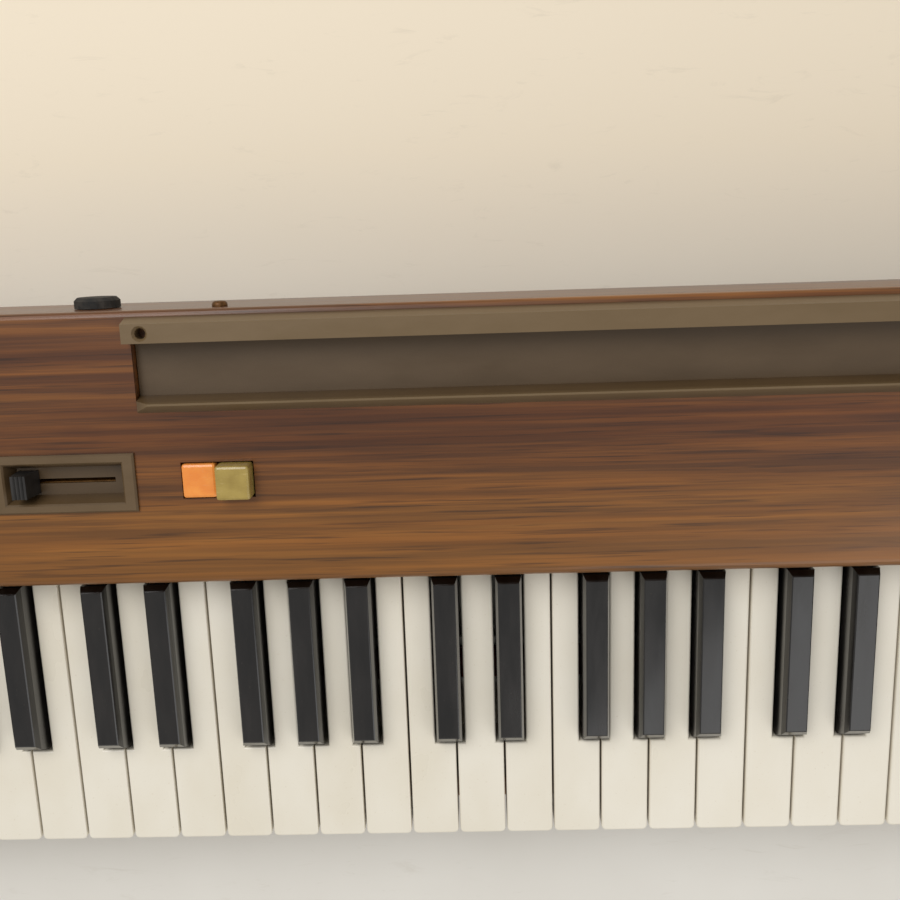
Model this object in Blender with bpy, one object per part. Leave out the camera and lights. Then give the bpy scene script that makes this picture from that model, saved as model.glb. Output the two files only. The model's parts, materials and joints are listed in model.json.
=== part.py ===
"""A table-top electronic piano with sixty-one keys in a wood-grain case.

X runs along the keyboard, -Y is the player's side and +Z is up. The origin is on the
table, under the middle of the case. All lengths are in metres. Positions in depth are
first written from the front ends of the white keys, as a keyboard maker does.
"""

import bpy
import bmesh
from math import asin, cos, pi, sin, sqrt

# Keyboard
NATURALS = 36
PITCH = 0.0235
KEY_GAP = 0.0010
KEY_LENGTH = 0.210
KEY_SHOWN = 0.1430
KEY_DIP = 0.010
KEY_WALL = 0.0018
KEY_ROOF = 0.0025
KEY_BODY_H = 0.014
KEY_BLOCK = 0.024
HEAD_LENGTH = 0.0490
HEAD_SKIRT_H = 0.020
HEAD_CORNER_R = 0.0022
KEY_EDGE_R = 0.0008

# Black keys
SHARP_W = 0.0122
SHARP_TOP_W = 0.0098
SHARP_H = 0.0120
SHARP_SHOULDER_H = 0.0083
SHARP_FRONT = 0.0504
SHARP_LENGTH = 0.0872
SHARP_FRONT_RAKE = 0.0042
SHARP_NOSE_RAKE = 0.0034
SHARP_REAR_RAKE = 0.0020
SHARP_EDGE_R = 0.0004
SHARP_CUT_W = 0.0148
SHARP_SHIFT = {"c": -0.0032, "d": 0.0031, "f": -0.0032, "g": 0.0, "a": 0.0033}

# Hinge of the keys and their moulded combs
PIVOT_FROM_FRONT = 0.200
BEAD_R = 0.0020
BEAD_CLEARANCE = 0.0003
COMB_BAR_FROM_KEY = 0.002
COMB_BAR_DEPTH = 0.008
COMB_BAR_T = 0.0028
COMB_LAYER_STEP = 0.0048
COMB_FIRST_LAYER = 0.0004
COMB_TOOTH = 0.006
COMB_TOOTH_INSET = 0.0015

# Case
FOOT_H = 0.008
KEY_TOP_Z = 0.060
PANEL_OVER_KEYS = 0.024
PANEL_T = 0.009
PANEL_NOSE_R = 0.004
PANEL_REAR_R = 0.0025
PANEL_UNDER_R = 0.001
KEY_INSET = 0.003
CASE_DEPTH = 0.269
CHEEK_W = 0.0555
CHEEK_GAP = 0.0015
CHEEK_FRONT_R = 0.012
CHEEK_EDGE_R = 0.0015
CHEEK_FOOT_R = 0.003
CHEEK_STEP_R = 0.002
BOTTOM_T = 0.012
BOTTOM_CHAMFER = 0.001
REAR_T = 0.012
REAR_BOTTOM_Z = 0.026
REAR_EDGE_R = 0.0025
FRONT_RAIL_T = 0.014
FRONT_RAIL_H = 0.020
FRONT_RAIL_R = 0.003
FRONT_RAIL_FOOT_R = 0.001
NAMEBOARD_T = 0.012
NAMEBOARD_SET_BACK = 0.002
NAMEBOARD_EDGE_R = 0.0015
GAP = 0.0003

# Felts
UP_FELT_T = 0.0017
DOWN_FELT_T = 0.0030
FELT_INSET = 0.001
FELT_CHAMFER = 0.0006
STOP_FROM_FRONT = 0.074
STOP_FELT_DEPTH = 0.016
STOP_CLEARANCE = 0.0004

# Pressed steel key frame
SHEET_T = 0.0016
FRAME_TOE_DEPTH = 0.040
SHELF_MARGIN = 0.004
FRAME_END_GAP = 0.0010

# Moulded music-rest tray
TRAY_L = 0.4068
STRIP_L = 0.4100
TRAY_FLOOR_DOWN = 0.005
TRAY_SKIN = 0.0022
TRAY_FRONT = 0.2220
TRAY_FLANGE = 0.0026
TRAY_CREST_H = 0.004
TRAY_CREST_W = 0.0009
TRAY_OUTER_RUN = 0.0033
TRAY_INNER_RUN = 0.0026
STRIP_FRONT = 0.2527
STRIP_DEPTH = 0.0106
STRIP_H = 0.008
STRIP_CHAMFER_RUN = 0.0024
STRIP_WALL = 0.0016
LIP_MITRE_RUN = 0.0060
REST_HOLE_SPAN = 0.3940
REST_HOLE_R = 0.0024
REST_SINK_R = 0.0034
REST_SINK_DEPTH = 0.0012

# Controls on the panel
CONTROLS_FROM_FRONT = 0.1912
BUTTON_W = 0.0150
BUTTON_D = 0.0152
BUTTON_PITCH = 0.0160
BUTTON_H = 0.0090
BUTTON_EDGE_R = 0.0012
BUTTON_TRAVEL = 0.006
BUTTON_PROUD = 0.002
BUTTON_CLEARANCE = 0.0006
BUTTONS_X = -0.1709
STEM_W = 0.0050
STEM_L = 0.0110
BEZEL_RIM_X = 0.0058
BEZEL_RIM_Y = 0.0043
BEZEL_PROUD = 0.0020
BEZEL_CHAMFER = 0.0008
BEZEL_WALL = 0.0014
BEZEL_FLOOR_DOWN = 0.0060
BEZEL_FLOOR_T = 0.0015
BEZEL_FLOOR_INSET = 0.0026
TREMOLO_X = -0.2390
BEZEL_PITCH = 0.0920
SLOT_W = 0.0022
SLOT_END_GAP = 0.0005
LEVER_W = 0.0014
LEVER_L = 0.0040
LEVER_DROP = 0.0086
KNOB_L = 0.0090
KNOB_D = 0.0105
KNOB_H = 0.0120
KNOB_TAPER = 0.0012
KNOB_GROOVE = 0.0006
KNOB_GROOVE_PITCH = 0.0017
KNOB_GROOVES = 3
KNOB_CLEARANCE = 0.0006
KNOB_END_GAP = 0.0011
KNOB_SIDE_GAP = 0.0010
SLIDE_TRAVEL = 0.0360

# Boards and power
BOARD_T = 0.0016
CONTROL_BOARD_D = 0.030
CONTROL_BOARD_MARGIN = 0.006
CONTROL_BODY_H = 0.0094
POT_D = 0.0100
SWITCH_BLOCK_MARGIN = 0.0040
MAIN_BOARD_L = 0.520
MAIN_BOARD_D = 0.024
MAIN_BOARD_X = -0.110
MAIN_BOARD_LIFT = 0.006
POST_R = 0.0030
CHIP_COUNT = 6
CHIP_L = 0.020
CHIP_D = 0.008
CHIP_H = 0.004
CAN_COUNT = 3
CAN_R = 0.0055
CAN_H = 0.016
CAN_EDGE = 0.0010
TRANSFORMER_X = 0.232
CORE_L = 0.046
CORE_D = 0.015
CORE_H = 0.036
COIL_L = 0.026
COIL_D = 0.028
COIL_H = 0.022
COIL_CORNER_R = 0.004
LUG_L = 0.012
LUG_T = 0.0020
LUG_HOLE_R = 0.0018
LUG_CORNER_R = 0.002
LUG_INSET = 0.001
PLATE_X = 0.330
PLATE_L = 0.104
PLATE_H = 0.040
PLATE_T = 0.0016
PLATE_CORNER_R = 0.003
PLATE_BORDER = 0.006
JACK_X = -0.036
JACK_R = 0.0032
JACK_COLLAR_R = 0.0068
JACK_COLLAR_H = 0.0020
JACK_BODY_L = 0.018
ROCKER_X = -0.004
ROCKER_W = 0.0130
ROCKER_H = 0.0200
ROCKER_T = 0.0100
ROCKER_PROUD = 0.0018
ROCKER_TILT = 8.0
ROCKER_CREST = 0.85
ROCKER_BACK = 0.60
ROCKER_HOLLOW = 1.4
ROCKER_CLEARANCE = 0.0006
INLET_X = 0.032
INLET_W = 0.0240
INLET_H = 0.0160
INLET_L = 0.0180
INLET_FLANGE = 0.0030
INLET_FLANGE_T = 0.0020
INLET_WALL = 0.0030
INLET_DEPTH = 0.0130
INLET_PIN_R = 0.0014
INLET_PIN_SPACING = 0.0080
INLET_CORNER_R = 0.0020
INLET_WELL_R = 0.0035

# Feet, bumpers and vents
FOOT_R = 0.0120
FOOT_TAPER = 0.0020
FOOT_X = 0.392
FOOT_FROM_EDGE = 0.026
FOOT_EDGE_R = 0.0010
BUMPER_R = 0.0100
BUMPER_T = 0.0050
BUMPER_X = 0.2250
BUMPER_DOWN = 0.0240
BUMPER_EDGE_R = 0.0015
VENT_COUNT = 9
VENT_W = 0.0034
VENT_L = 0.026
VENT_CORNER_R = 0.0010
VENT_PITCH = 0.0085

# Levels and lines that follow from the sizes above
SLOT_L = SLIDE_TRAVEL + LEVER_L + 2 * SLOT_END_GAP
BEZEL_L = SLIDE_TRAVEL + KNOB_L + 2 * (KNOB_END_GAP + BEZEL_FLOOR_INSET + BEZEL_RIM_X)
BEZEL_D = KNOB_D + 2 * (KNOB_SIDE_GAP + BEZEL_FLOOR_INSET + BEZEL_RIM_Y)
KEYBOARD_W = NATURALS * PITCH
CHEEK_IN = KEYBOARD_W / 2 + CHEEK_GAP
CASE_W = 2 * (CHEEK_IN + CHEEK_W)
Y_FRONT = -(CASE_DEPTH + BUMPER_T) / 2
Y_REAR = Y_FRONT + CASE_DEPTH
Y_KEY = Y_FRONT + KEY_INSET
Y_PIVOT = Y_KEY + PIVOT_FROM_FRONT
Y_NOSE = Y_KEY + KEY_SHOWN
Y_CONTROLS = Y_KEY + CONTROLS_FROM_FRONT
PANEL_Z = KEY_TOP_Z + PANEL_OVER_KEYS
UNDER_PANEL_Z = PANEL_Z - PANEL_T
PIVOT_Z = KEY_TOP_Z - KEY_BODY_H
BOTTOM_TOP_Z = FOOT_H + BOTTOM_T
DIP_ANGLE = asin(KEY_DIP / PIVOT_FROM_FRONT)
NOTCH_R = BEAD_R + BEAD_CLEARANCE
LETTERS = ("c", "d", "e", "f", "g", "a", "b")
MIDDLE_FIRST = 7
MIDDLE_LAST = 21

# Colours, roughness and metallic value of each finish
FINISHES = {
    "walnut": ((0.165, 0.062, 0.018), 0.42, 0.0),
    "board": ((0.210, 0.120, 0.060), 0.80, 0.0),
    "ivory": ((0.780, 0.700, 0.540), 0.35, 0.0),
    "ebony": ((0.012, 0.012, 0.014), 0.18, 0.0),
    "brown_plastic": ((0.120, 0.070, 0.030), 0.45, 0.0),
    "orange": ((0.830, 0.280, 0.030), 0.35, 0.0),
    "khaki": ((0.480, 0.290, 0.050), 0.35, 0.0),
    "black_plastic": ((0.020, 0.020, 0.022), 0.50, 0.0),
    "rubber": ((0.025, 0.025, 0.025), 0.85, 0.0),
    "felt": ((0.300, 0.030, 0.035), 0.95, 0.0),
    "steel": ((0.480, 0.480, 0.470), 0.40, 1.0),
    "circuit": ((0.220, 0.120, 0.030), 0.55, 0.0),
    "transformer": ((0.090, 0.085, 0.080), 0.55, 0.4),
}


def clear_scene():
    for old in list(bpy.data.objects):
        bpy.data.objects.remove(old, do_unlink=True)


def finish(key):
    """Returns the material for one finish, making it on first use."""
    found = bpy.data.materials.get(key)
    if found:
        return found
    colour, roughness, metallic = FINISHES[key]
    made = bpy.data.materials.new(key)
    made.use_nodes = True
    shader = made.node_tree.nodes["Principled BSDF"]
    shader.inputs["Base Color"].default_value = (*colour, 1.0)
    shader.inputs["Roughness"].default_value = roughness
    shader.inputs["Metallic"].default_value = metallic
    made.diffuse_color = (*colour, 1.0)
    return made


def arc(centre, radius, start, end, steps):
    """Points on an arc, angles in degrees."""
    points = []
    for i in range(steps + 1):
        a = (start + (end - start) * i / steps) * pi / 180
        points.append((centre[0] + radius * cos(a), centre[1] + radius * sin(a)))
    return points


def rounded(corners, steps=3):
    """Turns (a, b, radius) corners into an outline whose corners are fillets."""
    outline = []
    count = len(corners)
    for i, (a, b, radius) in enumerate(corners):
        if radius <= 0:
            outline.append((a, b))
            continue
        before = corners[i - 1]
        after = corners[(i + 1) % count]
        u = (before[0] - a, before[1] - b)
        v = (after[0] - a, after[1] - b)
        lu = sqrt(u[0] ** 2 + u[1] ** 2)
        lv = sqrt(v[0] ** 2 + v[1] ** 2)
        u = (u[0] / lu, u[1] / lu)
        v = (v[0] / lv, v[1] / lv)
        half = sqrt(max(1e-12, (1 - (u[0] * v[0] + u[1] * v[1])) / 2))
        cot = sqrt(1 - half ** 2) / half
        reach = radius * cot
        bisector = (u[0] + v[0], u[1] + v[1])
        length = sqrt(bisector[0] ** 2 + bisector[1] ** 2)
        depth = radius / half
        centre = (a + bisector[0] / length * depth, b + bisector[1] / length * depth)
        first = (a + u[0] * reach - centre[0], b + u[1] * reach - centre[1])
        last = (a + v[0] * reach - centre[0], b + v[1] * reach - centre[1])
        turn = first[0] * last[1] - first[1] * last[0]
        sweep = 2 * asin(min(1.0, sqrt((first[0] - last[0]) ** 2 + (first[1] - last[1]) ** 2)
                             / (2 * radius)))
        sweep = sweep if turn > 0 else -sweep
        for k in range(steps + 1):
            t = sweep * k / steps
            outline.append((centre[0] + first[0] * cos(t) - first[1] * sin(t),
                            centre[1] + first[0] * sin(t) + first[1] * cos(t)))
    return outline


def round_rectangle(a0, a1, b0, b1, radius, steps=3):
    """Outline of a rectangle whose four corners have one radius."""
    return rounded([(a0, b0, radius), (a1, b0, radius), (a1, b1, radius), (a0, b1, radius)], steps)


def prism(outline, axis, low, high):
    """Extrudes a flat outline along X, Y or Z between two positions."""
    def at(a, b, c):
        return {"X": (c, a, b), "Y": (a, c, b), "Z": (a, b, c)}[axis]

    bm = bmesh.new()
    face = bm.faces.new([bm.verts.new(at(a, b, low)) for a, b in outline])
    moved = bmesh.ops.extrude_face_region(bm, geom=[face])
    top = [v for v in moved["geom"] if isinstance(v, bmesh.types.BMVert)]
    bmesh.ops.translate(bm, verts=top, vec=at(0.0, 0.0, high - low))
    bmesh.ops.recalc_face_normals(bm, faces=bm.faces)
    return bm


def box(x0, x1, y0, y1, z0, z1):
    return prism([(x0, y0), (x1, y0), (x1, y1), (x0, y1)], "Z", z0, z1)


def bore(x, z, radius, y0, y1, steps=12):
    """A round rod or cutter lying along Y."""
    return prism(arc((x, z), radius, 0, 360 - 360 / steps, steps - 1), "Y", y0, y1)


def turned(profile, steps=24):
    """Spins a (radius, z) profile, given bottom to top, round the Z axis."""
    bm = bmesh.new()
    line = [bm.verts.new((r, 0.0, z)) for r, z in profile]
    edges = [bm.edges.new(pair) for pair in zip(line, line[1:])]
    bmesh.ops.spin(bm, geom=line + edges, cent=(0, 0, 0), axis=(0, 0, 1),
                   angle=2 * pi, steps=steps, use_duplicate=False)
    bmesh.ops.remove_doubles(bm, verts=bm.verts, dist=1e-6)
    bmesh.ops.recalc_face_normals(bm, faces=bm.faces)
    return bm


def bevel(bm, wanted, width, steps=2):
    """Rounds the edges for which wanted(edge) is true."""
    edges = [e for e in bm.edges if wanted(e)]
    bmesh.ops.bevel(bm, geom=edges, offset=width, offset_type="OFFSET", segments=steps,
                    profile=0.5, affect="EDGES", clamp_overlap=True, material=-1)
    return bm


def at_height(edge, z, tolerance=1e-6):
    return all(abs(v.co.z - z) < tolerance for v in edge.verts)


def merged(*shapes):
    """One mesh holding several separate shapes."""
    whole = bmesh.new()
    for shape in shapes:
        copy = bpy.data.meshes.new("copy")
        shape.to_mesh(copy)
        whole.from_mesh(copy)
        bpy.data.meshes.remove(copy)
        shape.free()
    return whole


def as_object(name, bm, material=None, origin=(0.0, 0.0, 0.0), smooth=None):
    """Makes an object whose own origin is at the given point."""
    bmesh.ops.translate(bm, verts=bm.verts, vec=[-c for c in origin])
    mesh = bpy.data.meshes.new(name)
    bm.to_mesh(mesh)
    bm.free()
    if material:
        mesh.materials.append(finish(material))
    made = bpy.data.objects.new(name, mesh)
    made.location = origin
    bpy.context.scene.collection.objects.link(made)
    if smooth:
        mesh.shade_smooth()
        mesh.set_sharp_from_angle(angle=smooth * pi / 180)
    return made


def combine(bm, other, operation="DIFFERENCE", itself=False):
    """Cuts or adds one closed mesh with another and returns the result."""
    body = as_object("body", bm)
    tool = as_object("tool", other)
    step = body.modifiers.new("cut", "BOOLEAN")
    step.object = tool
    step.operation = operation
    step.solver = "EXACT"
    step.use_self = itself
    graph = bpy.context.evaluated_depsgraph_get()
    shaped = bpy.data.meshes.new_from_object(body.evaluated_get(graph))
    result = bmesh.new()
    result.from_mesh(shaped)
    for spent in (body, tool):
        mesh = spent.data
        bpy.data.objects.remove(spent, do_unlink=True)
        bpy.data.meshes.remove(mesh)
    bpy.data.meshes.remove(shaped)
    return result


def tail_sides(letter, left_open, right_open):
    """Left and right side of a white key's tail, from the black keys beside it."""
    half = (PITCH - KEY_GAP) / 2
    place = LETTERS.index(letter)
    left = -half
    right = half
    before = LETTERS[place - 1]
    if before in SHARP_SHIFT and left_open:
        left = -PITCH / 2 + SHARP_SHIFT[before] + SHARP_CUT_W / 2
    if letter in SHARP_SHIFT and right_open:
        right = PITCH / 2 + SHARP_SHIFT[letter] - SHARP_CUT_W / 2
    return left, right


def key_outline(left, right, wall, corner_r, end):
    """Plan of a white key, from its hinge, drawn in by the wall for the hollow."""
    half = (PITCH - KEY_GAP) / 2 - wall
    front = -PIVOT_FROM_FRONT + wall
    step = -PIVOT_FROM_FRONT + HEAD_LENGTH - wall
    left += wall
    right -= wall
    corners = [(-half, front, corner_r), (half, front, corner_r)]
    if right < half - 1e-6:
        corners += [(half, step, 0), (right, step, 0)]
    corners += [(right, end, 0), (left, end, 0)]
    if left > -half + 1e-6:
        corners += [(left, step, 0), (-half, step, 0)]
    return rounded(corners)


def hinge_notch():
    """The half-round notch under a key that sits on the frame's rolled bead."""
    circle = arc((0.0, 0.0), NOTCH_R, 15, 345, 11)
    return prism(circle, "X", -PITCH, PITCH)


def natural_mesh(letter, right_open=True):
    """A moulded white key: hollow below, deep skirt at the front, notch at the hinge."""
    left, right = tail_sides(letter, True, right_open)
    end = KEY_LENGTH - PIVOT_FROM_FRONT
    top = KEY_BODY_H
    skirt = top - HEAD_SKIRT_H
    key = prism(key_outline(left, right, 0.0, HEAD_CORNER_R, end), "Z", skirt, top)
    bevel(key, lambda e: at_height(e, top), KEY_EDGE_R)
    behind = -PIVOT_FROM_FRONT + HEAD_LENGTH
    key = combine(key, box(-PITCH, PITCH, behind, end + PITCH, skirt - PITCH, 0.0))
    hollow = key_outline(left, right, KEY_WALL, 0.0, end - KEY_BLOCK)
    key = combine(key, prism(hollow, "Z", skirt - KEY_WALL, top - KEY_ROOF))
    return combine(key, hinge_notch())


def sharp_mesh():
    """A black key: raked cap with chamfered edges on a hollow body that runs to the hinge."""
    front = -PIVOT_FROM_FRONT + SHARP_FRONT
    rear = front + SHARP_LENGTH
    end = KEY_LENGTH - PIVOT_FROM_FRONT
    deck = KEY_BODY_H
    shoulder = deck + SHARP_SHOULDER_H
    crown = deck + SHARP_H
    brow = front + SHARP_FRONT_RAKE
    side = [(front, 0.0), (front, deck), (brow, shoulder), (rear, shoulder), (rear, deck),
            (end, deck), (end, 0.0)]
    key = prism(side, "X", -SHARP_W / 2, SHARP_W / 2)
    cap = [f for f in key.faces if f.normal.z > 0.9 and f.calc_center_median().z > shoulder - 1e-5]
    raised = bmesh.ops.extrude_discrete_faces(key, faces=cap)["faces"][0]
    for v in raised.verts:
        v.co.z = crown
        v.co.x *= SHARP_TOP_W / SHARP_W
        v.co.y += SHARP_NOSE_RAKE if v.co.y < (brow + rear) / 2 else -SHARP_REAR_RAKE
    bevel(key, lambda e: at_height(e, crown), SHARP_EDGE_R, 1)
    thin = KEY_ROOF
    inside = [(front + thin, -deck), (front + thin, deck - thin),
              (brow + thin, shoulder - thin / 2), (rear - thin, shoulder - thin / 2),
              (rear - thin, deck - thin), (end - KEY_BLOCK, deck - thin),
              (end - KEY_BLOCK, -deck)]
    bore_w = SHARP_W / 2 - KEY_WALL
    key = combine(key, prism(inside, "X", -bore_w, bore_w))
    return combine(key, hinge_notch())


def natural_x(index):
    """Middle of a white key, counted from the low end."""
    return -KEYBOARD_W / 2 + (index + 0.5) * PITCH


def sharp_x(index):
    """Middle of the black key to the right of a white key."""
    return natural_x(index) + PITCH / 2 + SHARP_SHIFT[LETTERS[index % 7]]


def make_moulds():
    """One mesh for each shape of key, shared by the keys that have that shape."""
    moulds = {letter: natural_mesh(letter) for letter in LETTERS}
    moulds["top"] = natural_mesh("c", right_open=False)
    moulds["sharp"] = sharp_mesh()
    return moulds


def mould_for(index):
    return "top" if index == NATURALS - 1 else LETTERS[index % 7]


def shaped_copy(mould, x):
    """A copy of a key's mesh moved along the keyboard."""
    copy = mould.copy()
    bmesh.ops.translate(copy, verts=copy.verts, vec=(x, 0.0, 0.0))
    return copy


def single_keys(moulds):
    """The middle two octaves: each key is its own moulding, hinged by itself."""
    shared = {}
    for label, mould in moulds.items():
        sample = as_object("sample", mould.copy(), "ebony" if label == "sharp" else "ivory")
        sample.data.shade_smooth()
        sample.data.set_sharp_from_angle(angle=40 * pi / 180)
        shared[label] = sample.data
        bpy.data.objects.remove(sample, do_unlink=True)
    for index in range(MIDDLE_FIRST, MIDDLE_LAST + 1):
        letter = LETTERS[index % 7]
        octave = index // 7 + 1
        place_key("key_%s%d" % (letter, octave), shared[mould_for(index)], natural_x(index))
        if letter in SHARP_SHIFT and index < MIDDLE_LAST:
            place_key("key_%ss%d" % (letter, octave), shared["sharp"], sharp_x(index))
    for mesh in shared.values():
        if mesh.users == 0:
            bpy.data.meshes.remove(mesh)


def place_key(name, mesh, x):
    made = bpy.data.objects.new(name, mesh)
    made.location = (x, Y_PIVOT, PIVOT_Z)
    bpy.context.scene.collection.objects.link(made)


def comb(name, moulds, members, layer, material):
    """Several keys moulded in one piece on a toothed bar behind the hinge.

    members holds (mould, x, left, right) for each key. The bars of the combs lie in layers,
    one above another, with room to rise when their keys go down."""
    end = KEY_LENGTH - PIVOT_FROM_FRONT
    bar_front = end + COMB_BAR_FROM_KEY
    bar_rear = bar_front + COMB_BAR_DEPTH
    low = COMB_FIRST_LAYER + layer * COMB_LAYER_STEP
    outline = []
    for mould, x, left, right in members:
        root_l = x + left + COMB_TOOTH_INSET
        root_r = x + right - COMB_TOOTH_INSET
        outline += [(root_l, bar_front), (root_l, bar_front - COMB_TOOTH),
                    (root_r, bar_front - COMB_TOOTH), (root_r, bar_front)]
    outline = outline[1:-1]
    outline += [(outline[-1][0], bar_rear), (outline[0][0], bar_rear)]
    bar = prism(outline, "Z", low, low + COMB_BAR_T)
    keys = merged(*[shaped_copy(moulds[mould], x) for mould, x, left, right in members])
    made = as_object(name, combine(keys, bar, "UNION"), material, smooth=40)
    made.location = (0.0, Y_PIVOT, PIVOT_Z)


def natural_members(indices):
    members = []
    for index in indices:
        left, right = tail_sides(LETTERS[index % 7], True, index < NATURALS - 1)
        members.append((mould_for(index), natural_x(index), left, right))
    return members


def sharp_members(indices):
    return [("sharp", sharp_x(i), -SHARP_W / 2, SHARP_W / 2) for i in indices
            if LETTERS[i % 7] in SHARP_SHIFT]


def key_combs(moulds):
    """The outer octaves: two combs of every other white key and one of black keys a side."""
    low = range(0, MIDDLE_FIRST)
    high = range(MIDDLE_LAST + 1, NATURALS)
    comb("comb_low_a", moulds, natural_members(low[0::2]), 0, "ivory")
    comb("comb_low_b", moulds, natural_members(low[1::2]), 1, "ivory")
    comb("comb_low_sharps", moulds, sharp_members(low), 2, "ebony")
    comb("comb_high_a", moulds, natural_members(high[0::2]), 0, "ivory")
    comb("comb_high_b", moulds, natural_members(high[1::2]), 1, "ivory")
    comb("comb_high_sharps", moulds, sharp_members(range(MIDDLE_LAST, NATURALS - 1)), 2, "ebony")


def frame_path():
    """Middle line of the folded steel sheet, from its front toe to the hinge bead."""
    shelf_top = stop_felt_z() - DOWN_FELT_T - GAP
    floor = BOTTOM_TOP_Z + GAP + SHEET_T / 2
    shelf = shelf_top - SHEET_T / 2
    rise = Y_KEY + STOP_FROM_FRONT - SHELF_MARGIN
    fall = rise + STOP_FELT_DEPTH + 2 * SHELF_MARGIN
    return [(rise - FRAME_TOE_DEPTH, floor), (rise, floor), (rise, shelf), (fall, shelf),
            (fall, floor), (Y_PIVOT, floor), (Y_PIVOT, PIVOT_Z)]


def stop_felt_z():
    """Top of the down-stop felt, where the underside of a fully pressed key meets it."""
    reach = PIVOT_FROM_FRONT - STOP_FROM_FRONT
    return PIVOT_Z - reach * sin(DIP_ANGLE) - STOP_CLEARANCE


def sheet_outline(path, thickness):
    """Outline of a folded sheet with square folds along a path of level and upright runs."""
    sides = ([], [])
    for i, (a, b) in enumerate(path):
        before = path[i - 1] if i else None
        after = path[i + 1] if i + 1 < len(path) else None
        normals = []
        for first, last in ((before, (a, b)), ((a, b), after)):
            if first and last:
                run = (last[0] - first[0], last[1] - first[1])
                length = sqrt(run[0] ** 2 + run[1] ** 2)
                normals.append((-run[1] / length, run[0] / length))
        shift = (normals[0][0], normals[0][1])
        if len(normals) == 2 and normals[0] != normals[1]:
            shift = (normals[0][0] + normals[1][0], normals[0][1] + normals[1][1])
        for side, sign in zip(sides, (1, -1)):
            side.append((a + sign * shift[0] * thickness / 2, b + sign * shift[1] * thickness / 2))
    return sides[0] + sides[1][::-1]


def key_frame():
    """The pressed steel frame: a shelf for the felt and an upright with a rolled bead."""
    half = CHEEK_IN - FRAME_END_GAP
    sheet = prism(sheet_outline(frame_path(), SHEET_T), "X", -half, half)
    circle = arc((Y_PIVOT, PIVOT_Z), BEAD_R, 0, 330, 11)
    bead = prism(circle, "X", -half + GAP, half - GAP)
    as_object("key_frame", combine(sheet, bead, "UNION"), "steel", smooth=35)


def felts():
    """The strips that end the keys' stroke, below the keys and under the nameboard."""
    half = KEYBOARD_W / 2
    front = Y_KEY + STOP_FROM_FRONT
    top = stop_felt_z()
    down = box(-half, half, front, front + STOP_FELT_DEPTH, top - DOWN_FELT_T, top)
    bevel(down, lambda e: at_height(e, top), FELT_CHAMFER, 1)
    as_object("down_stop_felt", down, "felt")
    low = KEY_TOP_Z + GAP
    y0 = Y_NOSE + NAMEBOARD_SET_BACK + FELT_INSET
    y1 = Y_NOSE + NAMEBOARD_SET_BACK + NAMEBOARD_T - FELT_INSET
    up = box(-half, half, y0, y1, low, low + UP_FELT_T)
    bevel(up, lambda e: at_height(e, low), FELT_CHAMFER, 1)
    as_object("up_stop_felt", up, "felt")


def nameboard():
    """The batten that closes the space between the panel and the keys."""
    half = CHEEK_IN - GAP
    y0 = Y_NOSE + NAMEBOARD_SET_BACK
    y1 = y0 + NAMEBOARD_T
    low = KEY_TOP_Z + GAP + UP_FELT_T + GAP
    top = UNDER_PANEL_Z - GAP
    outline = rounded([(y0, low, NAMEBOARD_EDGE_R), (y1, low, 0), (y1, top, 0), (y0, top, 0)])
    as_object("nameboard", prism(outline, "X", -half, half), "walnut")


def cheek(name, side):
    """An end block: full height beside the keys, stepped down behind to carry the panel."""
    step = Y_NOSE - GAP
    ledge = UNDER_PANEL_Z - GAP
    rear = Y_REAR - REAR_T - GAP
    outline = rounded([(Y_FRONT, FOOT_H, CHEEK_FOOT_R), (rear, FOOT_H, 0), (rear, ledge, 0),
                       (step, ledge, 0), (step, PANEL_Z, CHEEK_STEP_R),
                       (Y_FRONT, PANEL_Z, CHEEK_FRONT_R)], 4)
    inner = side * CHEEK_IN
    outer = side * (CHEEK_IN + CHEEK_W)
    block = prism(outline, "X", min(inner, outer), max(inner, outer))

    def outer_edge(edge):
        return all(abs(v.co.x - outer) < 1e-6 for v in edge.verts)

    bevel(block, outer_edge, CHEEK_EDGE_R)
    as_object(name, block, "walnut", smooth=30)


def bottom_board():
    """The base board between the cheeks, with a row of vents under the transformer."""
    half = CHEEK_IN - GAP
    y0 = Y_FRONT + KEY_INSET + FRONT_RAIL_T + GAP
    y1 = Y_REAR - REAR_T - GAP
    board = box(-half, half, y0, y1, FOOT_H, BOTTOM_TOP_Z)
    bevel(board, lambda e: at_height(e, FOOT_H), BOTTOM_CHAMFER, 1)
    middle = y1 - CORE_D - VENT_L / 2
    vents = []
    for i in range(VENT_COUNT):
        x = TRANSFORMER_X + (i - (VENT_COUNT - 1) / 2) * VENT_PITCH
        slot = round_rectangle(x - VENT_W / 2, x + VENT_W / 2, middle - VENT_L / 2,
                               middle + VENT_L / 2, VENT_CORNER_R, 1)
        vents.append(prism(slot, "Z", 0.0, BOTTOM_TOP_Z + FOOT_H))
    as_object("bottom_board", combine(board, merged(*vents)), "board")


def front_rail():
    """The low rail across the front, below the ends of the keys."""
    half = CHEEK_IN - GAP
    y0 = Y_KEY
    y1 = y0 + FRONT_RAIL_T
    top = FOOT_H + FRONT_RAIL_H
    outline = rounded([(y0, FOOT_H, FRONT_RAIL_FOOT_R), (y1, FOOT_H, 0),
                       (y1, top, FRONT_RAIL_R), (y0, top, FRONT_RAIL_R)])
    as_object("front_rail", prism(outline, "X", -half, half), "walnut", smooth=30)


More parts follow.
